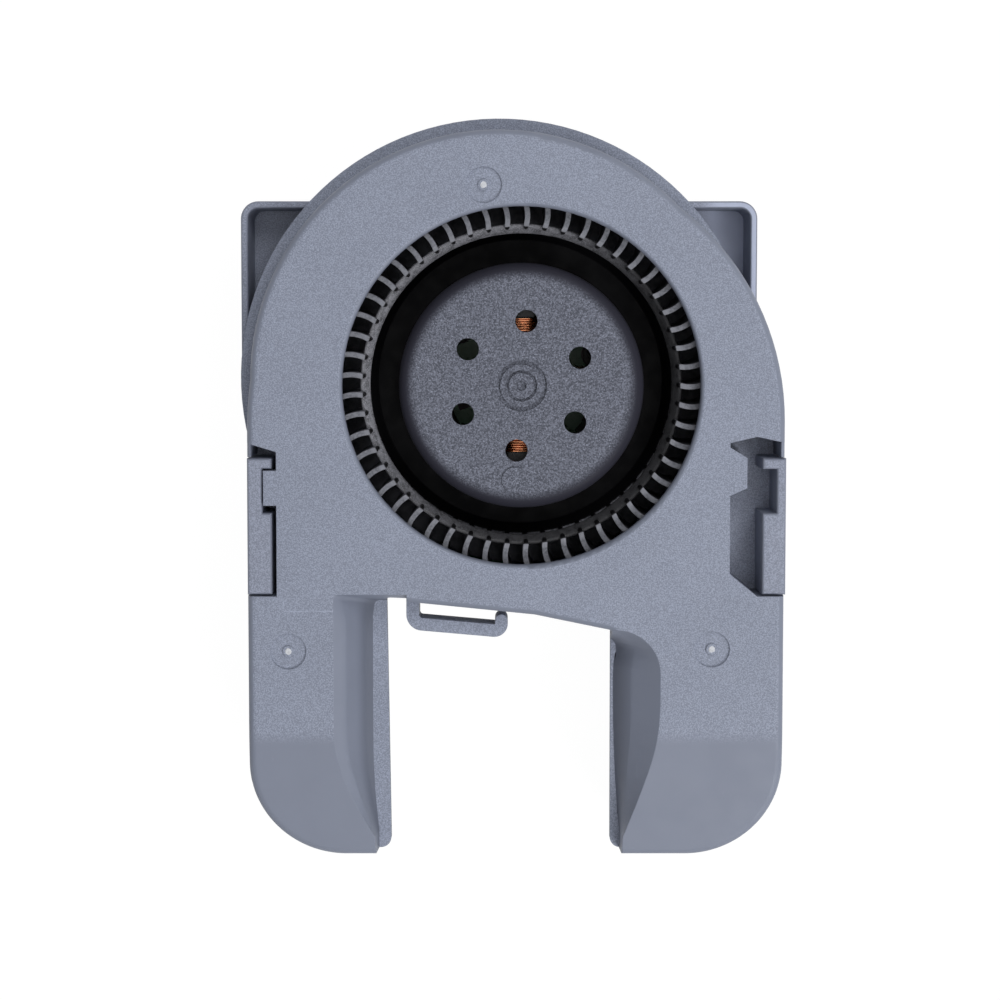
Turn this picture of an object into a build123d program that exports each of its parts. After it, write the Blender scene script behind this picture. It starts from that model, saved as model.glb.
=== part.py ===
from build123d import *
import math
import os

# Flat radial blower with two outlet legs, in millimetres.
# The origin is on the wheel's axis at the back face; +Z points out of the inlet, +Y to the dome.

os.makedirs("parts", exist_ok=True)

# Levels above the back face
total_depth = 38.0
parting_level = 26.0
lip_thickness = 2.0
tray_floor_level = 14.0

# Walls of the two shells
cover_wall = 2.0
cover_face = 2.0
housing_wall = 2.0
housing_floor = 2.4
base_edge_radius = 0.8
fit_gap = 0.05
running_gap = 0.02
moving_gap = 0.4
sink = 0.5
past = 5.0

# Plan of the shells
dome_x = -5.0
dome_y = 1.4
dome_radius = 55.5
lip_radius = 58.75
left_side = -61.3
right_side = 58.8
bulge_radius = 60.0
bulge_y = -8.0
leg_end = -106.8
leg_corner_radius = 21.5
leg_inner_corner_radius = 2.4
cover_edge_radius = 1.8

# Gap between the legs
gap_left_top = -30.7
gap_left_end = -29.8
gap_right = 20.5
gap_roof_left = -47.9
gap_roof_knee_x = 3.0
gap_roof_knee_y = -51.3
gap_roof_right = -54.9
gap_corner_radius = 1.1

# Ramp that closes each leg's lower face
ramp_start = -76.0
ramp_radius = 70.0
ramp_angle = 9.0

# Scoops on the legs' inner flanks
left_scoop_edge = -42.1
left_scoop_top = -46.6
left_scoop_corner = 1.2
left_scoop_straight = 31.0
left_scoop_foot_x = -33.4
left_flange_edge = -33.2
right_scoop_edge = 31.2
right_scoop_top = -54.6
right_scoop_corner = 10.0
right_scoop_straight = 5.0
right_scoop_foot_x = 23.2
right_flange_edge = 24.2
scoop_foot = -102.6
scoop_head_slope = 2.8
scoop_foot_inset = 0.6
narrow_corner = 1.0

# Rails of the housing that rise through the cover's sides
rail_top = -16.1
rail_bottom = -46.7
left_rail_width = 5.5
right_rail_width = 5.0
right_rail_proud = 0.3
rail_drop = 0.6
rail_gap = 0.3
rail_edge_radius = 0.6
notch_top = -18.5
notch_bottom = -28.4
notch_depth = 2.1
notch_opposite_depth = 3.2
tab_thickness = 3.0
tab_length = 7.8
tab_gap = 0.3

# Recesses of the cover round the rails
recess_gap = 1.1
recess_top_outer = -12.6
recess_top_inner = -14.6
pocket_inner_x = 46.5
pocket_shoulder_x = 50.3
pocket_roof = -11.2
pocket_head = -12.6
pocket_lip = 1.0
pocket_shoulder_top = -15.9
pocket_shoulder_end = -22.7
pocket_step = -24.4
pocket_foot_start = -41.9
pocket_mid_x = 52.5
ledge_thickness = 2.0

# Inlet and impeller
inlet_radius = 40.0
inlet_lip_radius = 0.9
blade_count = 53
blade_thickness = 1.15
blade_inner_radius = 35.8
blade_outer_radius = 42.6
blade_chord = 4.0
blade_curve_radius = 8.5
wheel_front = 34.6
shroud_width = 1.6
shroud_height = 3.0
wheel_plate_top = 14.0
wheel_plate_thickness = 1.8
valley_depth = 2.4
plate_shoulder_radius = 35.3
plate_shoulder_round = 1.2
hub_radius = 27.6
hub_wall = 2.15
hub_shoulder = 2.6
hub_top = 34.8
hub_face_thickness = 1.9
hub_hole_radius = 2.5
hub_hole_circle = 14.55
hub_hole_count = 6
hub_hole_turn = 85.7
hub_groove_depth = 0.6
hub_outer_groove = (4.8, 5.7)
hub_inner_groove = (2.9, 3.5)
hub_dimple_radius = 1.1
hub_pad_radius = 2.9
hub_pad_circle = 21.2
hub_pad_turn = 266.0
hub_pad_height = 0.3

# Gate marks on the cover
gate_radius = 4.0
gate_depth = 0.4
gate_nub_radius = 1.3
gate_nub_height = 0.3
gate_places = ((-8.4, 44.6), (-52.2, -59.4), (42.6, -58.9))

# Lead hook
hook_root_x = -24.6
hook_width = 2.9
hook_bottom = 26.0
hook_height = 6.0
hook_drop = 6.2
hook_length = 20.2
hook_slope = 5.0
hook_tip_rise = 2.4
hook_bend_radius = 2.2
hook_tip_bend_radius = 1.6

# Tray corners of the rear housing
tray_half_width = 58.85
tray_top = 41.7
tray_corner_radius = 4.0
tray_wall = 1.6
tray_floor_thickness = 2.0
tray_rim_radius = 0.5
gusset_thickness = 1.6
gusset_reach = 9.0
gusset_inset = 1.5
gusset_places = (20.0, 34.0)

# Outlets in the back of the legs
outlet_length = 19.0
outlet_margin = 3.4
outlet_inner_margin = 4.0
outlet_rim_height = 1.6

# Motor seat in the back
seat_radius = 30.0
seat_depth = 3.0
seat_floor = 2.4
seat_wall = 2.0
seat_rib_count = 6
seat_rib_width = 1.6
seat_hub_radius = 9.0

# Motor flange and its screws
flange_radius = 21.0
flange_thickness = 1.8
tube_radius = 5.2
tube_bore = 4.05
tube_top = 28.6
screw_count = 3
screw_circle = 18.6
screw_turn = 20.0
screw_radius = 1.15
screw_head_radius = 2.3
screw_head_height = 1.6
screw_head_gap = 0.6
screw_head_round = 0.6
screw_depth = 5.6
screw_boss_radius = 2.5
screw_boss_height = 2.4
screw_hole_radius = 1.4

# Shaft and bearings
shaft_radius = 2.0
shaft_end_gap = 0.3
pad_thickness = 0.8
clip_thickness = 0.5
clip_radius = 3.2
clip_groove_depth = 0.4
clip_height = 0.9
clip_slot_width = 2.3
shaft_end_round = 1.0
bearing_length = 7.0
bearing_setback = 0.3
bearing_chamfer = 0.3
washer_thickness = 0.5
washer_radius = 3.6
bush_radius = 5.4
bush_height = 2.3
bush_spigot_radius = 3.2

# Rotor cup and magnet
cup_thickness = 1.2
cup_skirt_level = 11.2
cup_hole_radius = 3.1
magnet_thickness = 2.3
magnet_bottom = 12.0
magnet_length = 18.0

# Stator
air_gap = 0.5
pole_count = 4
core_bottom = 14.5
core_height = 12.0
core_ring_radius = 8.4
neck_width = 6.0
shoe_thickness = 4.0
slot_width = 2.6
insulator_thickness = 1.5
insulator_lip_height = 1.2
coil_inner_radius = 9.3
coil_gap = 0.1
coil_side = 4.1
coil_head = 1.5
coil_corner_radius = 2.4

# Circuit board, its parts and the header
board_level = 7.8
board_thickness = 1.6
board_radius = 22.4
board_hole_radius = 6.4
board_screw_clearance = 0.5
tongue_x = -8.0
tongue_width = 12.0
tongue_end = -47.2
post_size = 2.4
post_setback = 3.0
header_width = 10.0
header_height = 6.0
header_back = -45.7
header_length = 5.8
header_wall = 1.0
header_floor = 1.4
pin_count = 3
pin_pitch = 2.0
pin_size = 0.5
pin_length = 3.2
board_parts = {
    "driver_chip": (4.4, 3.6, 1.1, 15.2, 110.0),
    "hall_sensor": (3.0, 1.6, 1.1, 20.4, 45.0),
    "board_capacitor": (3.2, 2.5, 1.2, 14.6, 200.0),
}
resistor_size = (1.6, 0.8, 0.5)
resistor_circle = 17.6
resistor_turns = (330.0, 342.0, 354.0)

# Snap arms that hold the cover
snap_width = 6.0
snap_length = 6.0
snap_thickness = 1.4
snap_root = 3.0
snap_gap = 0.15
snap_lug_reach = 1.3
snap_lug_height = 2.2
snap_window_gap = 0.25
snap_rows = (-58.0, -78.0)
snap_angles = (50.0, 90.0, 130.0)

# Derived places
bulge_x = right_side - bulge_radius
lip_level = parting_level + lip_thickness
seat_level = seat_depth + seat_floor
flange_top = seat_level + flange_thickness
cup_radius = hub_radius - hub_wall - fit_gap
cup_top = hub_top - hub_face_thickness
magnet_radius = cup_radius - cup_thickness - fit_gap
stator_radius = magnet_radius - magnet_thickness - air_gap
core_top = core_bottom + core_height
coil_half = neck_width / 2 + fit_gap + coil_side
coil_outer_radius = math.sqrt((stator_radius - shoe_thickness) ** 2 - coil_half ** 2) - coil_gap
board_top = board_level + board_thickness
header_front = header_back - header_length


def between(face, low, high):
    """Prism on a plan face, from one level to another."""
    return Pos(0, 0, low) * extrude(face, high - low)


def block(x_low, x_high, y_low, y_high, z_low, z_high):
    """Box between two corners."""
    size = (x_high - x_low, y_high - y_low, z_high - z_low)
    centre = ((x_low + x_high) / 2, (y_low + y_high) / 2, (z_low + z_high) / 2)
    return Pos(*centre) * Box(*size)


def disc(radius, low, high):
    """Round slab on the wheel's axis."""
    return between(Circle(radius), low, high)


def tube(outer, inner, low, high):
    """Ring on the wheel's axis."""
    return between(Circle(outer) - Circle(inner), low, high)


def polar(radius, angle):
    """Place on a circle round the wheel's axis."""
    turn = math.radians(angle)
    return radius * math.cos(turn), radius * math.sin(turn)


def polygon(*points):
    """Face inside a closed run of straight lines."""
    return make_face(Polyline(*points, close=True))


def rounded_at(face, point, radius):
    """Face with the corner nearest to a point rounded."""
    corner = face.vertices().sort_by_distance((point[0], point[1], 0))[0]
    return fillet(corner, radius)


def save(node, shape):
    """Write one piece to its file."""
    shape.label = node
    export_step(shape, f"parts/{node}.step")


def leg_gap():
    """Plan of the space between the legs, open at their ends."""
    below = leg_end - leg_corner_radius
    draft = (gap_left_end - gap_left_top) / (gap_roof_left - leg_end)
    left_below = gap_left_top + draft * (gap_roof_left - below)
    face = polygon(
        (left_below, below),
        (gap_left_top, gap_roof_left),
        (gap_roof_knee_x, gap_roof_knee_y),
        (gap_right, gap_roof_right),
        (gap_right, below),
    )
    face = rounded_at(face, (gap_left_top, gap_roof_left), gap_corner_radius)
    return rounded_at(face, (gap_right, gap_roof_right), gap_corner_radius)


def shell_plan():
    """Plan of the raised cover and of the scroll wall below it."""
    dome = Pos(dome_x, dome_y) * Circle(dome_radius)
    bulge = Pos(bulge_x, bulge_y) * Circle(bulge_radius)
    legs = polygon(
        (left_side, leg_end),
        (left_side, bulge_y),
        (right_side, bulge_y),
        (right_side, leg_end),
    )
    legs = rounded_at(legs, (left_side, leg_end), leg_corner_radius)
    legs = rounded_at(legs, (right_side, leg_end), leg_corner_radius)
    face = dome + bulge + legs - leg_gap()
    for inner_x in (gap_left_end, gap_right):
        face = rounded_at(face, (inner_x, leg_end), leg_inner_corner_radius)
    return face


def lip_plan():
    """Plan of the flange where cover and housing meet."""
    ring = Pos(dome_x, dome_y) * Circle(lip_radius) - leg_gap()
    return shell_plan() + ring


def ramp_tool(drop):
    """Space above the leg's lower face, which falls away on an arc and a slope."""
    top = total_depth - drop
    angle = math.radians(ramp_angle)
    arc_y = ramp_start - ramp_radius * math.sin(angle)
    arc_z = top - ramp_radius * (1 - math.cos(angle))
    middle_y = ramp_start - ramp_radius * math.sin(angle / 2)
    middle_z = top - ramp_radius * (1 - math.cos(angle / 2))
    far_y = leg_end - past
    far_z = arc_z - (arc_y - far_y) * math.tan(angle)
    over = total_depth + past
    edges = [
        ThreePointArc((ramp_start, top), (middle_y, middle_z), (arc_y, arc_z)),
        Polyline((arc_y, arc_z), (far_y, far_z), (far_y, over), (ramp_start, over), (ramp_start, top)),
    ]
    width = right_side - left_side + 2 * past
    side = Plane(origin=(left_side - past, 0, 0), x_dir=(0, 1, 0), z_dir=(1, 0, 0))
    return extrude(side * make_face(edges), width)


def scoop_face(edge, head, corner, straight, foot_x, inner):
    """Plan of a scoop: across the leg at the head, down the flank, in on an arc and out past the end."""
    side = 1 if edge > inner else -1
    start = head - corner - straight
    run = abs(edge - foot_x)
    drop = start - scoop_foot
    radius = (run * run + drop * drop) / (2 * run)
    half = math.asin(drop / radius) / 2
    middle = (edge - side * radius * (1 - math.cos(half)), start - radius * math.sin(half))
    beyond = inner - side * past
    below = leg_end - past
    bend = corner * (1 - math.sqrt(0.5))
    lines = [
        Line((beyond, head), (edge - side * corner, head)),
        ThreePointArc(
            (edge - side * corner, head),
            (edge - side * bend, head - bend),
            (edge, head - corner),
        ),
        Line((edge, head - corner), (edge, start)),
        ThreePointArc((edge, start), middle, (foot_x, scoop_foot)),
        Polyline((foot_x, scoop_foot), (foot_x, below), (beyond, below), (beyond, head)),
    ]
    return make_face(lines)


def scoop(side, grow):
    """Hollow on a leg's inner flank, from the face down to the flange, grown by a wall."""
    if side == "left":
        out = -1
        edge, head, corner, straight = left_scoop_edge, left_scoop_top, left_scoop_corner, left_scoop_straight
        foot_x, flange_edge, inner = left_scoop_foot_x, left_flange_edge, gap_left_top
    else:
        out = 1
        edge, head, corner, straight = right_scoop_edge, right_scoop_top, right_scoop_corner, right_scoop_straight
        foot_x, flange_edge, inner = right_scoop_foot_x, right_flange_edge, gap_right
    slope = abs(edge - flange_edge)
    wide = scoop_face(edge + out * grow, head + grow, corner, straight + grow, foot_x + out * grow, inner)
    narrow = scoop_face(
        flange_edge + out * grow,
        head + grow - scoop_head_slope,
        max(corner - slope / 2, narrow_corner),
        straight + grow,
        min(abs(foot_x), abs(flange_edge)) * out + out * (grow - scoop_foot_inset),
        inner,
    )
    body = loft([Pos(0, 0, lip_level) * narrow, Pos(0, 0, total_depth) * wide])
    body += between(wide, total_depth, total_depth + past)
    if grow:
        body += between(narrow, parting_level - past, lip_level)
    return body


def recess_plan(side):
    """Plan of the cover's side recess, from its inner edge out past the side."""
    if side == "left":
        inner_x = left_side + left_rail_width + recess_gap
        outer_x = left_side - past
        foot = rail_bottom - rail_gap
        return polygon(
            (outer_x, recess_top_outer),
            (left_side, recess_top_outer),
            (inner_x, recess_top_inner),
            (inner_x, foot),
            (outer_x, foot),
        )
    outer_x = right_side + past
    inner_x = right_side - right_rail_width
    foot = rail_bottom - rail_gap
    return polygon(
        (outer_x, recess_top_outer),
        (right_side, recess_top_outer),
        (pocket_mid_x, pocket_roof),
        (pocket_inner_x, pocket_head),
        (pocket_inner_x, pocket_head - pocket_lip),
        (pocket_shoulder_x, pocket_shoulder_top),
        (pocket_shoulder_x, pocket_shoulder_end),
        (pocket_inner_x, pocket_step),
        (pocket_inner_x, pocket_foot_start),
        (inner_x - recess_gap, foot),
        (outer_x, foot),
    )


def rail_plan(side):
    """Plan of a rail with its notch."""
    if side == "left":
        inner_x = left_side + left_rail_width
        notch_x = inner_x - notch_depth
        face = polygon((left_side, rail_bottom), (left_side, rail_top), (inner_x, rail_top), (inner_x, rail_bottom))
        open_x = inner_x + past
        return face - polygon((notch_x, notch_bottom), (notch_x, notch_top), (open_x, notch_top), (open_x, notch_bottom))
    outer_x = right_side + right_rail_proud
    inner_x = right_side - right_rail_width
    notch_x = inner_x + notch_opposite_depth
    face = polygon((inner_x, rail_bottom), (inner_x, rail_top), (outer_x, rail_top), (outer_x, rail_bottom))
    open_x = inner_x - past
    return face - polygon((open_x, notch_bottom), (open_x, notch_top), (notch_x, notch_top), (notch_x, notch_bottom))


def latch_tab():
    """Tab of the cover that reaches into the left rail's notch."""
    root = left_side + left_rail_width + recess_gap
    tip = left_side + left_rail_width - notch_depth + tab_gap
    top = notch_top - tab_gap
    return block(tip, root + sink, top - tab_length, top, total_depth - tab_thickness, total_depth)


def lead_hook():
    """Hook in the gap that guides the lead."""
    slope = math.radians(hook_slope)
    corner = (hook_root_x, gap_roof_left - hook_drop)
    toe = (corner[0] + hook_length * math.cos(slope), corner[1] - hook_length * math.sin(slope))
    tip = (toe[0], toe[1] + hook_tip_rise)
    path = FilletPolyline(
        (hook_root_x, gap_roof_left + cover_wall / 2), corner, toe, tip, radius=(hook_bend_radius, hook_tip_bend_radius)
    )
    face = trace(path, hook_width) + Pos(*tip) * Circle(hook_width / 2)
    return between(face, hook_bottom, hook_bottom + hook_height)


def gate_marks():
    """Round gate recesses in the cover's face, each with its nub."""
    marks = []
    for x, y in gate_places:
        ring = Circle(gate_radius) - Circle(gate_nub_radius)
        marks.append(Pos(x, y) * between(ring, total_depth - gate_depth, total_depth + past))
        nub_cut = between(Circle(gate_nub_radius), total_depth - gate_depth + gate_nub_height, total_depth + past)
        marks.append(Pos(x, y) * nub_cut)
    return marks


def front_cover():
    """Moulded cover with inlet, scooped legs, side recesses, hook and snap arms."""
    plan = shell_plan()
    body = between(plan, parting_level, total_depth) - ramp_tool(0)
    sides = body.faces().filter_by(lambda f: abs(f.normal_at().Z) < 0.1)
    top_edges = [e for f in sides for e in f.edges() if e.bounding_box().min.Z > lip_level]
    body = fillet(top_edges, cover_edge_radius)
    body += between(lip_plan(), parting_level, lip_level)
    hollow = between(offset(plan, -cover_wall), parting_level, total_depth - cover_face)
    hollow -= ramp_tool(cover_face)
    for side in ("left", "right"):
        body -= scoop(side, 0)
        hollow -= scoop(side, cover_wall)
        recess = recess_plan(side)
        body -= between(recess, parting_level - past, total_depth + past)
        grown = offset(recess, cover_wall, kind=Kind.INTERSECTION)
        hollow -= between(grown, parting_level - past, total_depth + past)
    body -= hollow
    body += latch_tab()
    body -= disc(inlet_radius, parting_level, total_depth + past)
    rim = body.edges().filter_by(GeomType.CIRCLE).filter_by(lambda e: abs(e.radius - inlet_radius) < 0.01)
    body = fillet(rim.sort_by(Axis.Z)[-1], inlet_lip_radius)
    for mark in gate_marks():
        body -= mark
    body += lead_hook()
    for place in snap_places():
        body += snap_arm(place)
    return body


def snap_places():
    """Middle of each snap on the outer wall, with the angle of the wall's outward normal."""
    places = [(left_side, y, 180) for y in snap_rows]
    places += [(right_side, y, 0) for y in snap_rows]
    for angle in snap_angles:
        turn = math.radians(angle)
        places.append((dome_x + dome_radius * math.cos(turn), dome_y + dome_radius * math.sin(turn), angle))
    return places


def snap_arm(place):
    """Arm inside the housing's wall, with a lug that fills the wall's window."""
    x, y, angle = place
    outer = -housing_wall - snap_gap
    inner = outer - snap_thickness
    low = parting_level - snap_length
    high = parting_level + snap_root
    arm = block(inner, outer, -snap_width / 2, snap_width / 2, low, high)
    arm += block(inner, -cover_wall / 2, -snap_width / 2, snap_width / 2, parting_level, high)
    ramp = polygon((outer, low), (outer + snap_lug_reach, low + snap_lug_height), (outer, low + snap_lug_height))
    side = Plane(origin=(0, snap_width / 2, 0), x_dir=(1, 0, 0), z_dir=(0, -1, 0))
    lug = extrude(side * ramp, snap_width)
    return Pos(x, y) * Rot(0, 0, angle) * (arm + lug)


def snap_window(place):
    """Window in the housing's wall for a snap lug."""
    x, y, angle = place
    half = snap_width / 2 + snap_window_gap
    low = parting_level - snap_length - snap_window_gap
    high = parting_level - snap_length + snap_lug_height + snap_window_gap
    return Pos(x, y) * Rot(0, 0, angle) * block(-housing_wall - snap_gap, past, -half, half, low, high)


def tray():
    """Shallow tray behind the dome's upper corners."""
    left = dome_x - tray_half_width
    right = dome_x + tray_half_width
    outer = polygon((left, dome_y), (left, tray_top), (right, tray_top), (right, dome_y))
    for corner_x in (left, right):
        outer = rounded_at(outer, (corner_x, tray_top), tray_corner_radius)
    outer += Pos(dome_x, dome_y) * Circle(tray_half_width)
    outer -= polygon((left, bulge_y), (right, bulge_y), (right, leg_end), (left, leg_end))
    body = between(outer, tray_floor_level - tray_floor_thickness, parting_level)
    body -= between(offset(outer, -tray_wall), tray_floor_level, parting_level + past)
    rim = body.faces().sort_by(Axis.Z)[-1].edges()
    body = fillet(rim, tray_rim_radius)
    return body + gussets(left, right)


def gussets(left, right):
    """Triangular ribs between the tray's underside and the scroll wall."""
    top = tray_floor_level - tray_floor_thickness
    ribs = []
    for y in gusset_places:
        wall = math.sqrt((dome_radius - housing_wall / 2) ** 2 - (y - dome_y) ** 2)
        for edge, root in ((left + gusset_inset, dome_x - wall), (right - gusset_inset, dome_x + wall)):
            side = Plane(origin=(0, y, 0), x_dir=(1, 0, 0), z_dir=(0, -1, 0))
            rib = polygon((edge, top), (root, top), (root, top - gusset_reach))
            ribs.append(extrude(side * rib, gusset_thickness))
    return ribs


def outlets():
    """Plans of the outlets in the back of the two legs."""
    low = leg_end + housing_wall + outlet_margin
    high = low + outlet_length
    left = left_side + housing_wall + outlet_margin
    right = right_side - housing_wall - outlet_margin
    faces = []
    for x_low, x_high in ((left, gap_left_top - outlet_inner_margin), (gap_right + outlet_inner_margin, right)):
        face = polygon((x_low, low), (x_low, high), (x_high, high), (x_high, low))
        outer_x = x_low if x_low < 0 else x_high
        faces.append(rounded_at(face, (outer_x, low), leg_corner_radius - housing_wall - outlet_margin))
    return faces


def motor_seat():
    """Raised round seat of the motor, hollow at the back and ribbed."""
    body = disc(seat_radius + seat_wall, 0, seat_level) - disc(seat_radius, 0, seat_depth)
    body += disc(seat_hub_radius, 0, seat_depth)
    rib = block(0, seat_radius + sink, -seat_rib_width / 2, seat_rib_width / 2, 0, seat_depth)
    for i in range(seat_rib_count):
        body += Rot(0, 0, 360 / seat_rib_count * i) * rib
    for x, y in screw_places():
        body -= Pos(x, y) * disc(screw_hole_radius, 0, seat_level + past)
        body -= Pos(x, y) * disc(screw_head_radius + screw_head_gap, -past, seat_depth)
    return body


def screw_places():
    """Places of the flange screws."""
    return [polar(screw_circle, screw_turn + 360 / screw_count * i) for i in range(screw_count)]


def rear_housing():
    """Moulded tub with scroll wall, rim, rails, tray corners, motor seat and outlets."""
    plan = shell_plan()
    body = between(plan, 0, parting_level)
    body = fillet(body.faces().sort_by(Axis.Z)[0].edges(), base_edge_radius)
    body += between(lip_plan(), parting_level - lip_thickness, parting_level)
    body += tray()
    inner = offset(plan, -housing_wall)
    hollow = between(inner, housing_floor, parting_level + past)
    for side in ("left", "right"):
        ledge = offset(recess_plan(side), cover_wall, kind=Kind.INTERSECTION)
        hollow -= between(ledge, parting_level - ledge_thickness, parting_level + past)
    body -= hollow
    body -= disc(seat_radius, -past, housing_floor + past)
    body += motor_seat()
    for side in ("left", "right"):
        rail = between(rail_plan(side), parting_level, total_depth - rail_drop)
        body += fillet(rail.faces().sort_by(Axis.Z)[-1].edges(), rail_edge_radius)
    for face in outlets():
        body += between(offset(face, outlet_rim_height), housing_floor, housing_floor + outlet_rim_height)
        body -= between(face, -past, housing_floor + past)
    for place in snap_places():
        body -= snap_window(place)
    post_y = tongue_end + post_setback
    for x in (tongue_x - tongue_width / 2 + post_size / 2, tongue_x + tongue_width / 2 - post_size / 2):
        half = post_size / 2
        body += block(x - half, x + half, post_y - half, post_y + half, housing_floor, board_level)
    half = header_width / 2 + fit_gap
    top = board_top + header_height + fit_gap
    body -= block(tongue_x - half, tongue_x + half, header_front - past, header_back, board_top - fit_gap, top)
    return body


def blade_face():
    """Plan of the blade on the +X axis: a thick arc, hollow towards the turning direction."""
    middle = blade_inner_radius + blade_chord / 2
    rise = math.sqrt(blade_curve_radius ** 2 - (blade_chord / 2) ** 2)
    half = blade_thickness / 2
    start = math.degrees(math.atan2(-rise, -blade_chord / 2))
    end = -math.degrees(math.acos((blade_outer_radius - middle) / blade_curve_radius))
    outer = Pos(middle, rise) * (Circle(blade_curve_radius + half) - Circle(blade_curve_radius - half))
    reach = blade_curve_radius * 3
    ends = [
        (middle + reach * math.cos(math.radians(a)), rise + reach * math.sin(math.radians(a))) for a in (start, end)
    ]
    sector = polygon((middle, rise), ends[0], ends[1])
    tip = (
        middle + blade_curve_radius * math.cos(math.radians(start)),
        rise + blade_curve_radius * math.sin(math.radians(start)),
    )
    return (outer & sector) + Pos(*tip) * Circle(half)


def impeller():
    """Bladed wheel: hub cup, valley, plate, blades and front shroud ring."""
    plate_bottom = wheel_plate_top - wheel_plate_thickness
    valley_top = wheel_plate_top - valley_depth
    valley_bottom = valley_top - wheel_plate_thickness
    hub_inner = hub_radius - hub_wall
    profile = Polyline(
        (0, hub_top - hub_face_thickness),
        (hub_inner, hub_top - hub_face_thickness),
        (hub_inner, valley_bottom),
        (plate_shoulder_radius, valley_bottom),
        (plate_shoulder_radius, plate_bottom),
        (blade_outer_radius, plate_bottom),
        (blade_outer_radius, wheel_plate_top),
        (plate_shoulder_radius, wheel_plate_top),
        (plate_shoulder_radius - wheel_plate_thickness, valley_top),
        (hub_radius, valley_top),
        (hub_radius, hub_top),
        (0, hub_top),
        close=True,
    )
    face = make_face(profile)
    face = rounded_at(face, (hub_radius, hub_top), hub_shoulder)
    face = rounded_at(face, (plate_shoulder_radius, wheel_plate_top), plate_shoulder_round)
    body = revolve(Plane.XZ * face, Axis.Z)
    for i in range(hub_hole_count):
        x, y = polar(hub_hole_circle, hub_hole_turn + 360 / hub_hole_count * i)
        body -= Pos(x, y) * disc(hub_hole_radius, hub_top - hub_face_thickness - past, hub_top + past)
    for small, large in (hub_outer_groove, hub_inner_groove):
        body -= tube(large, small, hub_top - hub_groove_depth, hub_top + past)
    body -= disc(hub_dimple_radius, hub_top - hub_groove_depth, hub_top + past)
    x, y = polar(hub_pad_circle, hub_pad_turn)
    body += Pos(x, y) * disc(hub_pad_radius, hub_top, hub_top + hub_pad_height)
    blade = between(blade_face(), wheel_plate_top - sink, wheel_front)
    blades = [Rot(0, 0, 360 / blade_count * i) * blade for i in range(blade_count)]
    body = body.fuse(*blades)
    shroud_inner = blade_outer_radius - sink
    shroud = tube(blade_outer_radius + shroud_width, shroud_inner, wheel_front - shroud_height, wheel_front)
    return body + shroud


def rotor_cup():
    """Steel cup with holes behind the hub's holes."""
    body = disc(cup_radius, cup_skirt_level, cup_top)
    body -= disc(cup_radius - cup_thickness, cup_skirt_level, cup_top - cup_thickness)
    body -= disc(bush_spigot_radius + fit_gap, cup_top - cup_thickness, cup_top)
    for i in range(hub_hole_count):
        x, y = polar(hub_hole_circle, hub_hole_turn + 360 / hub_hole_count * i)
        body -= Pos(x, y) * disc(cup_hole_radius, cup_top - cup_thickness, cup_top)
    return body


def ring_magnet():
    """Magnet inside the cup's skirt."""
    return tube(magnet_radius, magnet_radius - magnet_thickness, magnet_bottom, magnet_bottom + magnet_length)


def rotor_bush():
    """Brass bush that joins cup and shaft."""
    body = disc(bush_radius, cup_top - cup_thickness - bush_height, cup_top - cup_thickness)
    body += disc(bush_spigot_radius, cup_top - cup_thickness, cup_top - fit_gap)
    return body - disc(shaft_radius + fit_gap, 0, total_depth)


def shaft():
    """Shaft with a groove for its clip and a rounded lower end."""
    bottom = flange_top + pad_thickness + shaft_end_gap
    top = cup_top - fit_gap
    body = disc(shaft_radius, bottom, top)
    body = fillet(body.edges().sort_by(Axis.Z)[0], shaft_end_round)
    low = bottom + clip_height
    groove_radius = shaft_radius - clip_groove_depth
    return body - tube(shaft_radius + past, groove_radius, low - fit_gap, low + clip_thickness + fit_gap)


def shaft_clip():
    """Slotted clip in the shaft's groove."""
    low = flange_top + pad_thickness + shaft_end_gap + clip_height
    inner = shaft_radius - clip_groove_depth + fit_gap
    body = tube(clip_radius, inner, low, low + clip_thickness)
    half = clip_slot_width / 2
    return body - block(0, clip_radius + past, -half, half, low - past, low + past)


def bearings():
    """Levels of the lower ends of the two sleeve bearings."""
    clip_top = flange_top + pad_thickness + shaft_end_gap + clip_height + clip_thickness
    return {"rear_bearing": clip_top + moving_gap, "front_bearing": tube_top - bearing_setback - bearing_length}


def bearing(low):
    """Sintered sleeve with a running fit on the shaft."""
    body = tube(tube_bore - fit_gap, shaft_radius + running_gap, low, low + bearing_length)
    rims = body.edges().filter_by(GeomType.CIRCLE).filter_by(lambda e: e.radius > shaft_radius + running_gap)
    return chamfer(rims, bearing_chamfer)


def thrust_washer():
    """Washer under the rotor's bush."""
    top = cup_top - cup_thickness - bush_height
    return tube(washer_radius, shaft_radius + fit_gap, top - washer_thickness, top)


def motor_flange():
    """Plate with the closed bearing tube and the screw bosses."""
    body = disc(flange_radius, seat_level, flange_top)
    body += disc(tube_radius, seat_level, tube_top)
    for x, y in screw_places():
        body += Pos(x, y) * disc(screw_boss_radius, flange_top, flange_top + screw_boss_height)
        body -= Pos(x, y) * disc(screw_radius + fit_gap, seat_depth, seat_depth + screw_depth + fit_gap)
    return body - disc(tube_bore, flange_top, tube_top + past)


def thrust_pad():
    """Disc at the bottom of the bearing tube."""
    return disc(tube_bore - fit_gap, flange_top, flange_top + pad_thickness)


def flange_screws():
    """Pan-head screws through the motor seat."""
    head = disc(screw_head_radius, seat_depth - screw_head_height, seat_depth)
    head = fillet(head.edges().sort_by(Axis.Z)[0], screw_head_round)
    shank = disc(screw_radius, seat_depth, seat_depth + screw_depth)
    return Compound(children=[Pos(x, y) * (head + shank) for x, y in screw_places()])


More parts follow.
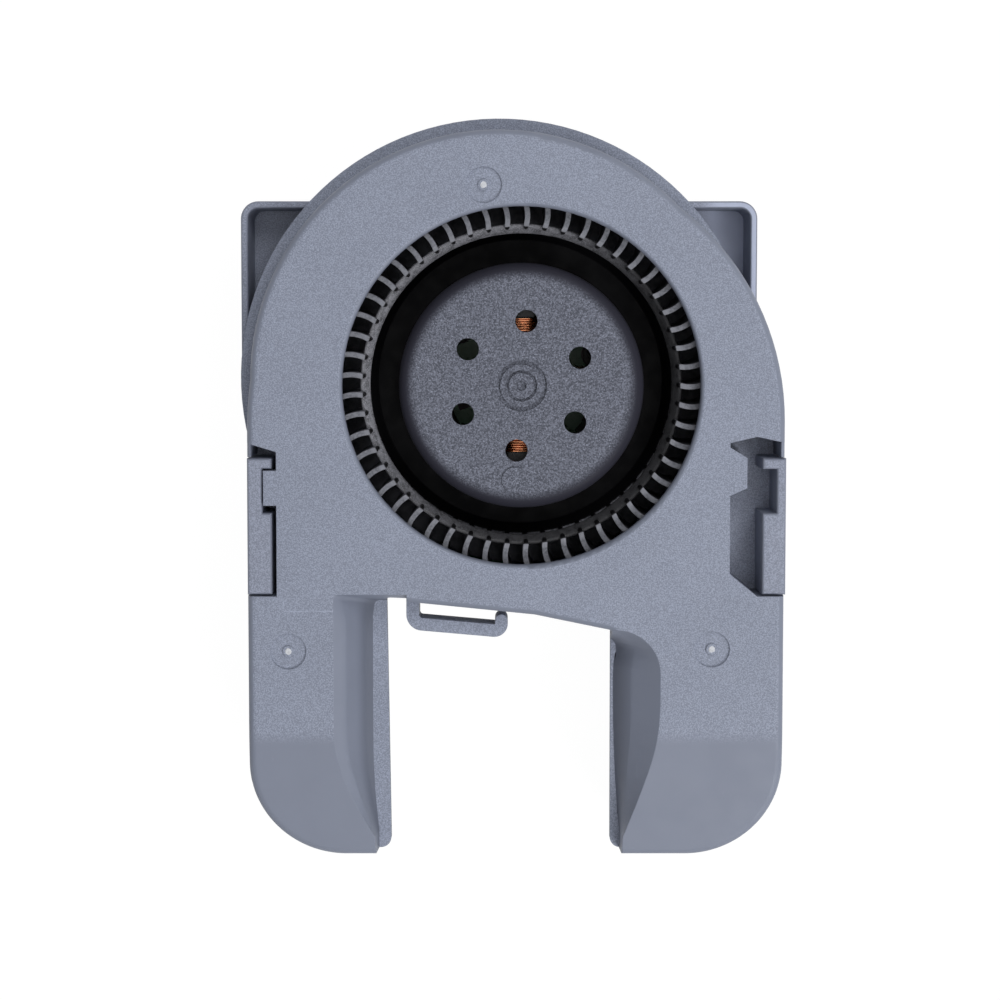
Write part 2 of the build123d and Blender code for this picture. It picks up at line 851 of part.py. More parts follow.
def core_plan(reach):
    """Plan of the stator core out to a radius: ring, necks and pole shoes."""
    ring = Circle(core_ring_radius)
    shoes = Circle(stator_radius) - Circle(stator_radius - shoe_thickness)
    neck = Pos(stator_radius / 2, 0) * Rectangle(stator_radius, neck_width)
    slot = Pos(stator_radius, 0) * Rectangle(2 * (shoe_thickness + sink), slot_width)
    face = ring + shoes
    for i in range(pole_count):
        face += Rot(0, 0, 360 / pole_count * i) * neck
    for i in range(pole_count):
        face -= Rot(0, 0, 360 / pole_count * (i + 0.5)) * slot
    return (face & Circle(reach)) - Circle(tube_radius + fit_gap)


def stator_core():
    """Stack of laminations."""
    return between(core_plan(stator_radius), core_bottom, core_top)


def insulator(level, outward):
    """End piece of the core, with lips that hold the winding."""
    lip_inner = stator_radius - shoe_thickness
    flat = core_plan(lip_inner + insulator_lip_height)
    far = level + outward * insulator_thickness
    tip = far + outward * insulator_lip_height
    body = between(flat, min(level, far), max(level, far))
    lip = core_plan(lip_inner + insulator_lip_height) - Circle(lip_inner)
    return body + between(lip, min(far, tip), max(far, tip))


def coil():
    """Winding round the pole on the +X axis."""
    low = core_bottom - insulator_thickness
    high = core_top + insulator_thickness
    inner = neck_width / 2 + fit_gap
    middle = (low + high) / 2
    outer_face = RectangleRounded(2 * coil_half, high - low + 2 * coil_head, coil_corner_radius)
    face = outer_face - Rectangle(2 * inner, high - low)
    side = Plane(origin=(coil_inner_radius, 0, middle), x_dir=(0, 1, 0), z_dir=(1, 0, 0))
    return extrude(side * face, coil_outer_radius - coil_inner_radius)


def circuit_board():
    """Round board with cut-outs for the screw bosses and a tongue to the header."""
    face = Circle(board_radius) - Circle(board_hole_radius)
    face += polygon(
        (tongue_x - tongue_width / 2, 0),
        (tongue_x - tongue_width / 2, tongue_end),
        (tongue_x + tongue_width / 2, tongue_end),
        (tongue_x + tongue_width / 2, 0),
    )
    face -= Circle(board_hole_radius)
    for x, y in screw_places():
        face -= Pos(x, y) * Circle(screw_boss_radius + board_screw_clearance)
    return between(face, board_level, board_top)


def board_part(sizes):
    """Chip on the board: length, width, height, place on its circle and its angle."""
    length, width, height, radius, angle = sizes
    x, y = polar(radius, angle)
    return Pos(x, y, board_top + height / 2) * Rot(0, 0, angle + 90) * Box(length, width, height)


def board_resistors():
    """Row of chip resistors."""
    chips = []
    for turn in resistor_turns:
        chips.append(board_part((*resistor_size, resistor_circle, turn)))
    return Compound(children=chips)


def connector_header():
    """Open box that a lead's plug goes into."""
    half = header_width / 2
    body = block(tongue_x - half, tongue_x + half, header_front, header_back, board_top, board_top + header_height)
    half -= header_wall
    low = board_top + header_wall
    high = board_top + header_height - header_wall
    body -= block(tongue_x - half, tongue_x + half, header_front - past, header_back - header_floor, low, high)
    for x in pin_places():
        body -= pin(x, pin_size + 2 * fit_gap)
    return body


def pin_places():
    """Places of the pins across the header."""
    return [tongue_x + pin_pitch * (i - (pin_count - 1) / 2) for i in range(pin_count)]


def pin(x, size):
    """Square pin through the header's back wall."""
    level = board_top + header_height / 2
    front = header_back - header_floor - pin_length
    half = size / 2
    return block(x - half, x + half, front, header_back, level - half, level + half)


def connector_pins():
    """Pins of the header."""
    return Compound(children=[pin(x, pin_size) for x in pin_places()])


save("front_cover", front_cover())
save("rear_housing", rear_housing())
save("motor_flange", motor_flange())
save("flange_screws", flange_screws())
save("stator_core", stator_core())
save("front_insulator", insulator(core_top, 1))
save("rear_insulator", insulator(core_bottom, -1))
for number in range(pole_count):
    save(f"coil_{number + 1}", Rot(0, 0, 360 / pole_count * number) * coil())
for node, low in bearings().items():
    save(node, bearing(low))
save("thrust_pad", thrust_pad())
save("circuit_board", circuit_board())
for node, sizes in board_parts.items():
    save(node, board_part(sizes))
save("board_resistors", board_resistors())
save("connector_header", connector_header())
save("connector_pins", connector_pins())
save("impeller", impeller())
save("rotor_cup", rotor_cup())
save("ring_magnet", ring_magnet())
save("rotor_bush", rotor_bush())
save("shaft", shaft())
save("shaft_clip", shaft_clip())
save("thrust_washer", thrust_washer())
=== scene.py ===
import math
import random

import bmesh
import bpy
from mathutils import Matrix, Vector


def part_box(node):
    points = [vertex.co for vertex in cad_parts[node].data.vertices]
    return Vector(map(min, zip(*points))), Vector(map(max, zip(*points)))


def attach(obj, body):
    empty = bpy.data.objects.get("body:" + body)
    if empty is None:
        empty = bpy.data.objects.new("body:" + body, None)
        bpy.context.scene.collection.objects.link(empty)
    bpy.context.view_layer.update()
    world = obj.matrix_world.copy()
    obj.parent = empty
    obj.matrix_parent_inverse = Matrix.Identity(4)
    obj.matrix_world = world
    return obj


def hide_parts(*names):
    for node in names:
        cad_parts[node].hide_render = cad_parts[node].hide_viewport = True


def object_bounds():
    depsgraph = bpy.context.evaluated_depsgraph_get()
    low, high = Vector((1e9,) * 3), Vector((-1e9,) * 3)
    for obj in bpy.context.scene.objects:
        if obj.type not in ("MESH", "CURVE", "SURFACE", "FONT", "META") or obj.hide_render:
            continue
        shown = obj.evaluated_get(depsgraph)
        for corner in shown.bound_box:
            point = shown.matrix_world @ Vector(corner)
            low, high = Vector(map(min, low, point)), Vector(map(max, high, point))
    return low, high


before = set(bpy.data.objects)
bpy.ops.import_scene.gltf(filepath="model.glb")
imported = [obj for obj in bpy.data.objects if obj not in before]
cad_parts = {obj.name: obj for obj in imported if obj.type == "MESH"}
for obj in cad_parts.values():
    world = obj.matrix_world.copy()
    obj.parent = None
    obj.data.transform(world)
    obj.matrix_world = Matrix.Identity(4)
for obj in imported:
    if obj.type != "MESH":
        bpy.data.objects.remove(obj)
cad_low, cad_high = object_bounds()

MM = 0.001

# Places taken from the frame
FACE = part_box("front_cover")[1].z
HUB_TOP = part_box("impeller")[1].z

# Camera: above the inlet, tilted a little towards the legs
CAMERA_HEIGHT = 400 * MM
CAMERA_X = -4.8 * MM
AIM_Y = -3.44 * MM
CAMERA_TILT = math.radians(3.0)
LENS = 64.9
SENSOR_WIDTH = 36
CLIP_START = 10 * MM
SHIFT_Y = -0.098

# Light: lamps of watts and metres, and a floor that glows white to the camera
WORLD_STRENGTH = 0.28
KEY_DISTANCE = 1.5
KEY_AZIMUTH = math.radians(-50)
KEY_ELEVATION = math.radians(45)
KEY_SIZE = 0.6
KEY_POWER = 9.4
FILL_SIZE = 0.6
FILL_PLACE = (0.45, 0.75, 1.05)
FILL_POWER = 4.8
TOP_SIZE = 0.7
TOP_PLACE = (0.10, -0.10, 1.2)
TOP_POWER = 1.6
FLOOR_SIZE = 6.0
FLOOR_GAP = 0.02 * MM
FLOOR_WHITE = 0.9
FLOOR_GLOW = 0.94
GLOW_STRENGTH = 1.04

# Colours, as linear values
COVER_GREY = (0.262, 0.291, 0.376)
HOUSING_GREY = (0.268, 0.294, 0.378)
WHEEL_BLACK = (0.005, 0.005, 0.006)
WHEEL_GLOSS = 0.05
HUB_GREY = (0.150, 0.160, 0.200)
# Painted highlight on the hub's rounded shoulder, standing for its gloss
SHOULDER_HIGHLIGHT_GREY = (0.030, 0.030, 0.042)
BLADE_GREY = (0.10, 0.102, 0.118)
# Wear on the blade tips, also painted on the blade edges as part wear, part highlight
BLADE_WORN = (0.24, 0.248, 0.28)
BLADE_DUST = (0.36, 0.365, 0.41)
RING_DUST = (0.19, 0.192, 0.215)
VESTIGE_WHITE = (0.74, 0.76, 0.81)
COPPER = (0.78, 0.33, 0.17)
BRONZE = (0.50, 0.33, 0.16)
STEEL = (0.55, 0.55, 0.53)
CORE_GREY = (0.20, 0.20, 0.21)
FERRITE = (0.045, 0.045, 0.048)
INSULATOR_WHITE = (0.66, 0.65, 0.60)
BOARD_GREEN = (0.03, 0.16, 0.07)
CHIP_BLACK = (0.02, 0.02, 0.022)
MOTOR_BLACK = (0.025, 0.025, 0.028)
TIN = (0.66, 0.65, 0.62)

# Finish of every edge
BEVEL_SAMPLES = 4

# Finish of the cover: grained face, smooth leg ends and a witness line
LEG_SMOOTH_Y = -79.0 * MM
LEG_SMOOTH_BLEND = 2 * MM
WITNESS_X = -53.2 * MM
WITNESS_TOP = -47.4 * MM
WITNESS_Y = -50.3 * MM
WITNESS_END = -38.1 * MM
WITNESS_WIDTH = 0.25 * MM

# Painted light on the housing: the floor of its right tray is painted paler, as if lit
TRAY_FLOOR = 13.9 * MM
TRAY_FLOOR_BLEND = MM
LIT_CORNER_X = 43.0 * MM
LIT_CORNER_Y = 12.0 * MM
LIT_CORNER_BLEND = 3 * MM
PAINTED_LIGHT_FACTOR = 1.75

# Finish of the wheel: radii where its zones change, depths below the hub's top and heights of the blade tips
HUB_FADE_START = 23.4 * MM
HUB_FADE_END = 26.2 * MM
HUB_DEPTH_DARK = 3.2 * MM
HUB_DEPTH_PALE = 1.4 * MM
# Radii of the painted highlight on the hub's rounded shoulder
SHOULDER_INNER_RADIUS = 28 * MM
SHOULDER_OUTER_RADIUS = 30 * MM
TIP_LOW = 34.30 * MM
TIP_HIGH = 34.55 * MM
BLADE_INNER_RADIUS = 35.8 * MM
DUST_END_RADIUS = 36.5 * MM

# Ring inside the blades: sides round the axis, and its section as radius and height in millimetres
RING_SIDES = 144
RING_PROFILE = (
    (34.5, 26.2), (34.35, 26.9), (34.6, 27.5), (35.6, 28.9), (36.3, 29.4), (36.6, 28.6), (35.3, 26.4),
)

# Space between the legs, as the frame has it
PARTING = 26.0 * MM
GAP_HEAD = -46.0 * MM
GAP_LEFT = -30.7 * MM
GAP_SLANT = 0.0153
GAP_RIGHT = 20.5 * MM
GAP_SKIN = 2.5 * MM
GAP_DRAFT = 2.0 * MM

# Scoops, as the frame has them, and how finely and by which faces they are cut
LIP = 28.0 * MM
RAMP_START = -76.0 * MM
RAMP_RADIUS = 70.0 * MM
RAMP_ANGLE = math.radians(9)
FLANK_STEP = 0.5 * MM
FLANK_STRIP = 2.5 * MM
FLANK_STEEPEST = 0.05
FLANK_FLATTEST = 0.98
LEDGE_SLACK = 0.1 * MM
CUT_MERGE = 1e-8
MICRONS_PER_METRE = 1e6

# Reshaped scoops, in millimetres: box round the flank, sideways moves by share of the depth,
# and where the moves fade at head and foot
RIGHT_SCOOP = {
    "box": ((20.4, -103.5, 27.9), (31.6, -54.0, 38.05)),
    "moves": ((0.0, 0.0), (0.5, -2.8), (1.0, -3.1)),
    "head": (-56.5, -65.0),
    "foot": (-68.9, -102.6),
}
LEFT_SCOOP = {
    "box": ((-42.4, -103.5, 27.9), (-30.6, -46.0, 38.05)),
    "moves": ((0.0, 0.0), (0.16, 1.2), (0.86, -0.9), (1.0, -0.7)),
    "head": (-48.0, -53.0),
    "foot": (-81.4, -102.6),
}

# Thin walls that close the side recesses above the rails, in millimetres: each side's place and inward sign
SKIN_WIDTH = 0.95
SKIN_FOOT = -15.8
SKIN_HEAD = -12.2
SKIN_SIDES = ((-61.3, 1), (58.8, -1))
COVER_EDGE = 1.8
SKIN_STEPS = 6

# Gate vestiges: torn lumps that stay just under the face
GATE_PLACES = ((-8.4 * MM, 44.6 * MM), (-52.2 * MM, -59.4 * MM), (42.6 * MM, -58.9 * MM))
VESTIGE_RADIUS = 1.05 * MM
VESTIGE_SINK = 0.2 * MM
VESTIGE_CLEARANCE = 0.01 * MM
VESTIGE_ROUGHNESS = 0.03
VESTIGE_EDGE = (-0.16, 0.12)
VESTIGE_RINGS = 5
VESTIGE_SIDES = 18
VESTIGE_SEED = 40

# Winding: wire, corner, layers and the places where the wire wanders off a true helix
COIL_COUNT = 4
WIRE_RADIUS = 0.25 * MM
WIRE_SIDES = 8
WIRE_CORNER_STEPS = 4
WINDING_CORNER = 2.0 * MM
WINDING_LAYERS = 2
WINDING_NESTING = 0.9
WINDING_SEED = 7
WIRE_WANDER = 0.06 * MM
WINDING_HALF = 3.9 * MM

# Stack of the core
SHEET_THICKNESS = 0.5 * MM


class Graph:
    """Short way to add and join the nodes of one material."""

    def __init__(self, name):
        self.material = bpy.data.materials.new(name)
        self.material.use_nodes = True
        self.tree = self.material.node_tree
        self.shader = self.tree.nodes["Principled BSDF"]
        self.place = self.add("ShaderNodeTexCoord").outputs["Object"]
        self.geometry = self.add("ShaderNodeNewGeometry")
        self.axes = self.add("ShaderNodeSeparateXYZ")
        self.join(self.place, self.axes.inputs[0])

    def add(self, kind):
        return self.tree.nodes.new(kind)

    def join(self, source, target):
        self.tree.links.new(source, target)

    def put(self, value, target):
        """Sets a socket to a number or joins it to another node."""
        if isinstance(value, bpy.types.NodeSocket):
            self.join(value, target)
        else:
            target.default_value = value

    def math(self, operation, *values, clamp=False):
        made = self.add("ShaderNodeMath")
        made.operation = operation
        made.use_clamp = clamp
        for value, target in zip(values, made.inputs):
            self.put(value, target)
        return made.outputs[0]

    def noise(self, size, detail=2.0, roughness=0.5, stretch=None, warp=0.0):
        """Noise with features of about the given size in metres."""
        made = self.add("ShaderNodeTexNoise")
        made.inputs["Scale"].default_value = 1 / size
        made.inputs["Detail"].default_value = detail
        made.inputs["Roughness"].default_value = roughness
        made.inputs["Distortion"].default_value = warp
        if stretch:
            mapping = self.add("ShaderNodeMapping")
            mapping.inputs["Scale"].default_value = stretch
            self.join(self.place, mapping.inputs["Vector"])
            self.join(mapping.outputs[0], made.inputs["Vector"])
        else:
            self.join(self.place, made.inputs["Vector"])
        return made.outputs["Fac"]

    def span(self, value, low, high, to_low=0.0, to_high=1.0, smooth=True):
        """Maps a range onto another, with the ends held."""
        made = self.add("ShaderNodeMapRange")
        made.interpolation_type = "SMOOTHSTEP" if smooth else "LINEAR"
        self.put(value, made.inputs["Value"])
        made.inputs["From Min"].default_value = low
        made.inputs["From Max"].default_value = high
        made.inputs["To Min"].default_value = to_low
        made.inputs["To Max"].default_value = to_high
        return made.outputs["Result"]

    def blend(self, share, first, second):
        """Mix of two colours."""
        made = self.add("ShaderNodeMix")
        made.data_type = "RGBA"
        self.put(share, made.inputs["Factor"])
        for value, target in ((first, made.inputs["A"]), (second, made.inputs["B"])):
            self.put(value if isinstance(value, bpy.types.NodeSocket) else (*value, 1.0), target)
        return made.outputs["Result"]

    def between(self, value, low, high, soft):
        """1 where a value lies in a range, with soft ends."""
        rising = self.span(value, low - soft, low + soft)
        falling = self.span(value, high - soft, high + soft, 1.0, 0.0)
        return self.math("MULTIPLY", rising, falling)

    def facing_up(self, low=0.90, high=0.98):
        """1 on surfaces that face along +Z."""
        parts = self.add("ShaderNodeSeparateXYZ")
        self.join(self.geometry.outputs["Normal"], parts.inputs[0])
        return self.span(parts.outputs["Z"], low, high)

    def edge(self, radius):
        """Normal rounded at the edges, and how far it turns there."""
        bevel = self.add("ShaderNodeBevel")
        bevel.samples = BEVEL_SAMPLES
        bevel.inputs["Radius"].default_value = radius
        dot = self.add("ShaderNodeVectorMath")
        dot.operation = "DOT_PRODUCT"
        self.join(bevel.outputs[0], dot.inputs[0])
        self.join(self.geometry.outputs["Normal"], dot.inputs[1])
        turn = self.math("SUBTRACT", 1.0, dot.outputs["Value"])
        return bevel.outputs[0], turn

    def bump(self, height, depth, normal=None, strength=1.0):
        """Relief of a given depth in metres."""
        made = self.add("ShaderNodeBump")
        made.inputs["Distance"].default_value = depth
        self.put(strength, made.inputs["Strength"])
        self.join(height, made.inputs["Height"])
        if normal:
            self.join(normal, made.inputs["Normal"])
        return made.outputs[0]

    def radius(self):
        """Distance from the wheel's axis."""
        across = self.math("MULTIPLY", self.axes.outputs["X"], self.axes.outputs["X"])
        along = self.math("MULTIPLY", self.axes.outputs["Y"], self.axes.outputs["Y"])
        return self.math("SQRT", self.math("ADD", across, along))

    def finish(self, colour, roughness, normal, metallic=0.0):
        self.join(colour, self.shader.inputs["Base Color"])
        self.put(roughness, self.shader.inputs["Roughness"])
        self.join(normal, self.shader.inputs["Normal"])
        self.shader.inputs["Metallic"].default_value = metallic
        return self.material


def shade(colour, factor):
    """Colour made lighter or darker."""
    return tuple(min(1.0, c * factor) for c in colour)


def grained(graph, colour, size, grain, glint):
    """Colour with mottling, grain of a given size and contrast, and painted glints: light flecks of a given
    strength.
    """
    broad = graph.noise(22 * MM, 3.0)
    fine = graph.noise(size, 1.0, 0.5)
    # Painted glints: small light flecks that stand for the sparkle of the grain
    point = graph.span(graph.noise(1.1 * size, 1.0), 0.60, 0.74)
    tone = graph.blend(graph.span(broad, 0.3, 0.7), shade(colour, 0.965), shade(colour, 1.035))
    darker = graph.span(fine, 0.56, 0.36)
    lighter = graph.span(fine, 0.46, 0.66)
    tone = graph.blend(graph.math("MULTIPLY", darker, grain), tone, shade(colour, 0.5))
    tone = graph.blend(graph.math("MULTIPLY", lighter, grain), tone, shade(colour, 1.5))
    return graph.blend(graph.math("MULTIPLY", point, glint), tone, shade(colour, 2.2)), fine


def shell_plastic(name, colour, is_cover):
    """Grey moulded plastic with a spark-eroded texture and painted glints on the faces, smoother flanks,
    painted shade deep in the cover's scoops, edges painted lighter as part wear and part highlight, and
    painted light on the floor of the housing's right tray.
    """
    graph = Graph(name)
    textured = graph.facing_up()
    if is_cover:
        y = graph.axes.outputs["Y"]
        above = graph.span(y, LEG_SMOOTH_Y - LEG_SMOOTH_BLEND, LEG_SMOOTH_Y + LEG_SMOOTH_BLEND)
        ledge = graph.span(graph.axes.outputs["Z"], LIP + 1.2 * MM, LIP + 0.4 * MM)
        textured = graph.math("MULTIPLY", textured, graph.math("MAXIMUM", above, ledge))
    base, fine = grained(graph, colour, 0.27 * MM, 0.42, 0.34)
    plain = graph.blend(graph.noise(9 * MM, 3.0), shade(colour, 0.79), shade(colour, 0.87))
    # Painted shade: smooth flanks deep in the cover's scoops, near the lip, are painted darker
    if is_cover:
        clear_of_painted_shade = graph.span(graph.axes.outputs["Z"], LIP + 0.5 * MM, LIP + 5.5 * MM)
        plain = graph.blend(clear_of_painted_shade, shade(colour, 0.54), plain)
    tone = graph.blend(textured, plain, base)
    # Painted light: the floor of the housing's right tray is painted paler, as if lit
    if not is_cover:
        x, y, z = (graph.axes.outputs[axis] for axis in "XYZ")
        right = graph.span(x, LIT_CORNER_X - LIT_CORNER_BLEND, LIT_CORNER_X + LIT_CORNER_BLEND)
        above = graph.span(y, LIT_CORNER_Y - LIT_CORNER_BLEND, LIT_CORNER_Y + LIT_CORNER_BLEND)
        floor = graph.math("MULTIPLY", graph.span(z, TRAY_FLOOR - TRAY_FLOOR_BLEND, TRAY_FLOOR), textured)
        pale = graph.math("MULTIPLY", graph.math("MULTIPLY", right, above), floor)
        tone = graph.blend(pale, tone, shade(colour, PAINTED_LIGHT_FACTOR))
    # Edges painted lighter in patches: partly wear, partly painted highlight
    rounded, turn = graph.edge(0.3 * MM)
    patches = graph.span(graph.noise(3 * MM), 0.35, 0.6)
    worn = graph.math("MULTIPLY", graph.span(turn, 0.02, 0.30), patches)
    tone = graph.blend(graph.math("MULTIPLY", worn, 0.35), tone, shade(colour, 1.45))
    scuffs = graph.span(graph.noise(1.6 * MM, 4.0, 0.7, stretch=(1.0, 0.12, 1.0)), 0.66, 0.75)
    tone = graph.blend(graph.math("MULTIPLY", scuffs, 0.10), tone, shade(colour, 1.35))
    if is_cover:
        tone = graph.blend(graph.math("MULTIPLY", witness_line(graph), 0.45), tone, shade(colour, 1.7))
    depth = graph.math("ADD", graph.math("MULTIPLY", textured, 0.85), 0.15)
    normal = graph.bump(fine, 0.05 * MM, rounded, depth)
    roughness = graph.span(graph.noise(5 * MM, 3.0), 0.3, 0.7, 0.50, 0.60)
    return graph.finish(tone, roughness, normal)


def witness_line(graph):
    """Fine pale line that runs down and then across beside the left rail."""
    x, y = graph.axes.outputs["X"], graph.axes.outputs["Y"]
    half = WITNESS_WIDTH / 2
    soft = WITNESS_WIDTH / 2
    down = graph.math(
        "MULTIPLY",
        graph.between(x, WITNESS_X - half, WITNESS_X + half, soft),
        graph.between(y, WITNESS_Y, WITNESS_TOP, soft),
    )
    across = graph.math(
        "MULTIPLY",
        graph.between(x, WITNESS_X, WITNESS_END, soft),
        graph.between(y, WITNESS_Y - half, WITNESS_Y + half, soft),
    )
    line = graph.math("MAXIMUM", down, across)
    broken = graph.span(graph.noise(1.2 * MM), 0.30, 0.50, 0.45, 1.0)
    return graph.math("MULTIPLY", graph.math("MULTIPLY", line, broken), graph.facing_up())


def wheel_plastic():
    """Black wheel: grey hub face with painted glints and a painted highlight on its rounded shoulder, deep
    black plate, greyer blades with dusty inner edges, worn tips and edges painted lighter as part wear and
    part highlight.
    """
    graph = Graph("wheel_black_plastic")
    z = graph.axes.outputs["Z"]
    radius = graph.radius()
    inside = graph.span(radius, HUB_FADE_START, HUB_FADE_END, 1.0, 0.0)
    high = graph.span(z, HUB_TOP - HUB_DEPTH_DARK, HUB_TOP - HUB_DEPTH_PALE)
    hub = graph.math("MULTIPLY", graph.math("MULTIPLY", inside, high), graph.facing_up(0.45, 0.95))
    # Painted highlight: the hub's rounded shoulder is painted a lighter grey, standing for its gloss
    shoulder = graph.span(radius, SHOULDER_OUTER_RADIUS, SHOULDER_INNER_RADIUS)
    painted_shoulder_highlight = graph.math("MULTIPLY", shoulder, high)
    # Hub face: grain with strong painted glints
    hub_tone, fine = grained(graph, HUB_GREY, 0.33 * MM, 0.75, 1.0)
    smooth = graph.blend(graph.noise(6 * MM, 4.0), shade(WHEEL_BLACK, 0.7), shade(WHEEL_BLACK, 1.4))
    tone = graph.blend(painted_shoulder_highlight, smooth, SHOULDER_HIGHLIGHT_GREY)
    tone = graph.blend(hub, tone, hub_tone)
    blades = graph.span(radius, BLADE_INNER_RADIUS - 0.3 * MM, BLADE_INNER_RADIUS)
    patchy = graph.span(graph.noise(3.2 * MM, 4.0, 0.6), 0.34, 0.66)
    tone = graph.blend(blades, tone, graph.blend(patchy, shade(BLADE_GREY, 0.7), shade(BLADE_GREY, 1.35)))
    band = graph.math("MULTIPLY", blades, graph.span(radius, DUST_END_RADIUS + 0.5 * MM, DUST_END_RADIUS))
    dust = graph.span(graph.noise(1.1 * MM, 5.0, 0.7, warp=0.6), 0.38, 0.60, 0.25, 1.0)
    tone = graph.blend(graph.math("MULTIPLY", graph.math("MULTIPLY", band, dust), 0.8), tone, BLADE_DUST)
    tips = graph.span(z, TIP_LOW, TIP_HIGH)
    worn = graph.math("MULTIPLY", graph.math("MULTIPLY", tips, blades), graph.facing_up(0.75, 0.95))
    streak = graph.span(graph.noise(0.7 * MM, 4.0, 0.7), 0.32, 0.62, 0.25, 0.95)
    tone = graph.blend(graph.math("MULTIPLY", worn, streak), tone, BLADE_WORN)
    rounded, turn = graph.edge(0.25 * MM)
    # Blade edges painted lighter: partly wear, partly painted highlight
    rim_wear_and_highlight = graph.math("MULTIPLY", graph.span(turn, 0.05, 0.35), blades)
    tone = graph.blend(graph.math("MULTIPLY", rim_wear_and_highlight, 0.18), tone, BLADE_WORN)
    depth = graph.math("ADD", graph.math("MULTIPLY", graph.math("MAXIMUM", hub, worn), 0.9), 0.1)
    normal = graph.bump(fine, 0.10 * MM, rounded, depth)
    glossy = graph.span(graph.noise(4 * MM, 3.0), 0.3, 0.7, 0.34, 0.50)
    rough = graph.math("ADD", glossy, graph.math("MULTIPLY", hub, 0.14))
    graph.shader.inputs["Specular IOR Level"].default_value = WHEEL_GLOSS
    return graph.finish(tone, rough, normal)


def plain_plastic(name, colour, grain, depth, rough_low, rough_high):
    """Small moulded part: mottled colour, fine grain, edges painted pale as part wear and part highlight."""
    graph = Graph(name)
    broad = graph.noise(6 * MM, 3.0)
    fine = graph.noise(grain, 2.0)
    tone = graph.blend(broad, shade(colour, 0.86), shade(colour, 1.10))
    rounded, turn = graph.edge(0.12 * MM)
    # Edges painted lighter: partly wear, partly painted highlight
    tone = graph.blend(graph.math("MULTIPLY", graph.span(turn, 0.03, 0.3), 0.3), tone, shade(colour, 1.5))
    roughness = graph.span(fine, 0.3, 0.7, rough_low, rough_high)
    return graph.finish(tone, roughness, graph.bump(fine, depth, rounded))


def metal(name, colour, grain, stretch, depth, rough_low, rough_high, tarnish):
    """Metal with drawn or turned marks and a dull film in patches."""
    graph = Graph(name)
    marks = graph.noise(grain, 4.0, 0.6, stretch=stretch)
    film = graph.span(graph.noise(4 * MM, 4.0), 0.45, 0.65)
    tone = graph.blend(marks, shade(colour, 0.85), shade(colour, 1.12))
    tone = graph.blend(graph.math("MULTIPLY", film, tarnish), tone, shade(colour, 0.5))
    rounded, turn = graph.edge(0.1 * MM)
    # Edges painted lighter: partly wear, partly painted highlight
    tone = graph.blend(graph.math("MULTIPLY", graph.span(turn, 0.03, 0.3), 0.3), tone, shade(colour, 1.25))
    roughness = graph.span(marks, 0.3, 0.7, rough_low, rough_high)
    return graph.finish(tone, roughness, graph.bump(marks, depth, rounded), metallic=1.0)


def laminations():
    """Stacked sheets of electrical steel, with a dark line between every two."""
    graph = Graph("core_laminations")
    turns = graph.math("MULTIPLY", graph.axes.outputs["Z"], 1 / SHEET_THICKNESS)
    sheet = graph.math("FRACT", turns)
    seam = graph.between(sheet, 0.0, 0.18, 0.06)
    patches = graph.noise(2 * MM, 4.0)
    tone = graph.blend(patches, shade(CORE_GREY, 0.8), shade(CORE_GREY, 1.2))
    tone = graph.blend(seam, tone, shade(CORE_GREY, 0.35))
    height = graph.math("SUBTRACT", 1.0, seam)
    roughness = graph.span(patches, 0.3, 0.7, 0.35, 0.5)
    return graph.finish(tone, roughness, graph.bump(height, 0.05 * MM), metallic=1.0)


def winding_copper():
    """Enamelled copper wire, shiny, with darker enamel in places."""
    graph = Graph("winding_copper")
    enamel = graph.span(graph.noise(1.4 * MM, 3.0), 0.40, 0.66)
    fine = graph.noise(0.25 * MM, 2.0)
    tone = graph.blend(enamel, COPPER, shade(COPPER, 0.55))
    roughness = graph.span(enamel, 0.0, 1.0, 0.22, 0.40)
    return graph.finish(tone, roughness, graph.bump(fine, 0.01 * MM), metallic=1.0)


def ring_dust_and_shade_plastic():
    """Dark plastic under a broken film of pale dust, with painted shade that darkens it towards one side."""
    graph = Graph("wheel_dust_and_shade_plastic")
    dust = graph.span(graph.noise(1.6 * MM, 5.0, 0.7, warp=0.8), 0.34, 0.66)
    fine = graph.noise(0.3 * MM, 2.0)
    tone = graph.blend(dust, shade(RING_DUST, 0.45), shade(RING_DUST, 1.35))
    tone = graph.blend(graph.span(fine, 0.45, 0.7), tone, shade(RING_DUST, 1.8))
    # Painted shade: the ring is painted darker towards its right and lower side
    x, y = graph.axes.outputs["X"], graph.axes.outputs["Y"]
    lean = graph.math("SUBTRACT", graph.math("MULTIPLY", y, 0.6), x)
    lit_side = graph.span(lean, -25 * MM, 33 * MM, 0.15, 1.0)
    tone = graph.blend(lit_side, shade(RING_DUST, 0.08), tone)
    roughness = graph.span(dust, 0.0, 1.0, 0.45, 0.75)
    return graph.finish(tone, roughness, graph.bump(fine, 0.05 * MM))


def torn_plastic():
    """Pale, crazed plastic where a gate was torn off."""
    graph = Graph("gate_vestige_plastic")
    fine = graph.noise(0.25 * MM, 4.0, 0.7)
    patches = graph.noise(0.9 * MM, 3.0)
    tone = graph.blend(graph.span(patches, 0.3, 0.7), shade(VESTIGE_WHITE, 0.75), VESTIGE_WHITE)
    roughness = graph.span(fine, 0.3, 0.7, 0.45, 0.7)
    return graph.finish(tone, roughness, graph.bump(fine, 0.12 * MM))


